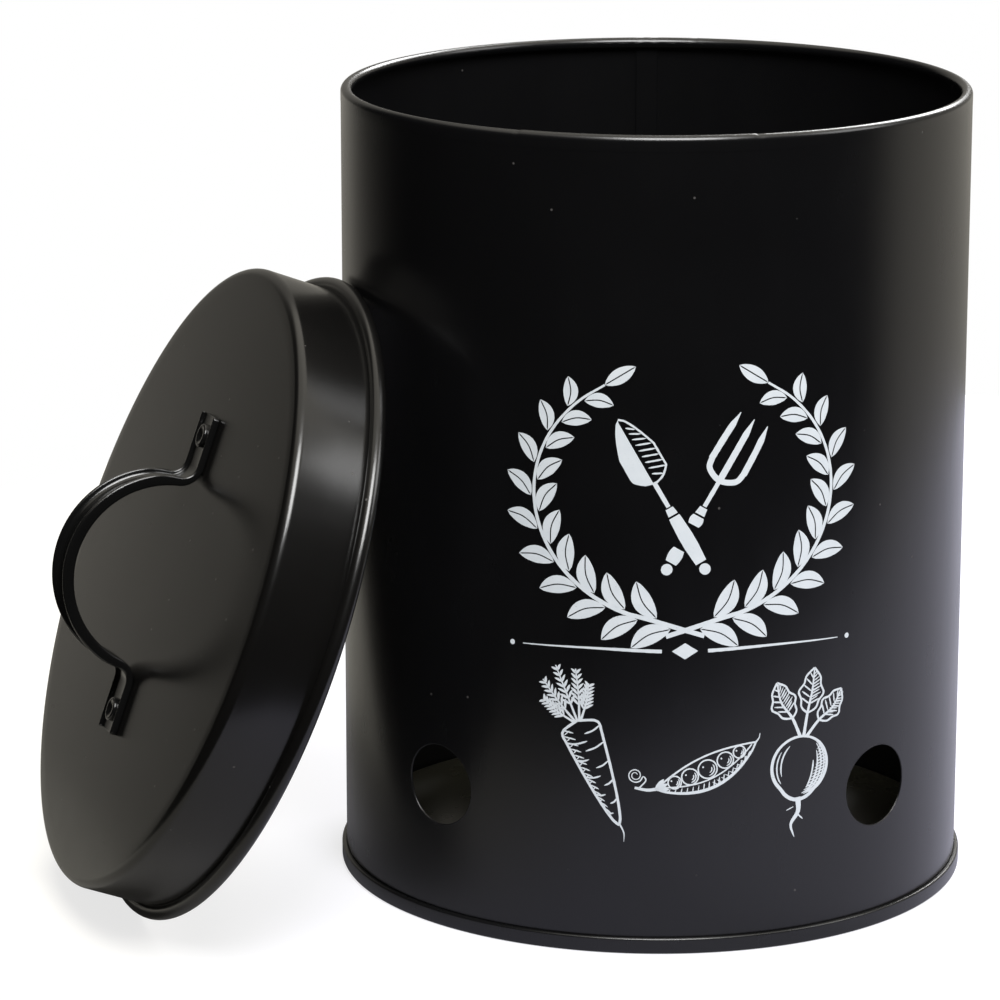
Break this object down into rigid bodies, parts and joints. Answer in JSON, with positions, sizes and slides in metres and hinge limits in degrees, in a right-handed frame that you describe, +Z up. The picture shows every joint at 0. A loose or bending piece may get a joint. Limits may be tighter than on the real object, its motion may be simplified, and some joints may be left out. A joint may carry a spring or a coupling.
{
  "type": "onion storage canister",
  "caption": "Round lidded steel canister with vents near its foot; the lid, with a riveted strap handle, leans against its side.",
  "frame": {"origin": "centre of the canister's foot, on the surface it stands on", "axes": "+Z up along the canister's axis, -Y out of its front, -X towards the side where the lid leans"},
  "size_m": [0.2567, 0.2102, 0.217],
  "materials": {
    "canister_coat": "satin",
    "base_coat": "satin",
    "lid_coat": "satin",
    "handle_coat": "gloss",
    "rivet_coat": "satin"
  },
  "bodies": {
    "canister": {"canister_wall": "canister_coat", "canister_base": "base_coat"},
    "lid": {"lid_cap": "lid_coat", "lid_handle": "handle_coat", "lid_rivets": "rivet_coat"}
  },
  "joints": [
    {"name": "lid_lift", "type": "slide", "parent": "canister", "child": "lid", "axis": [-0.89, -0.284, 0.3567], "range_m": [0, 0.2]}
  ]
}
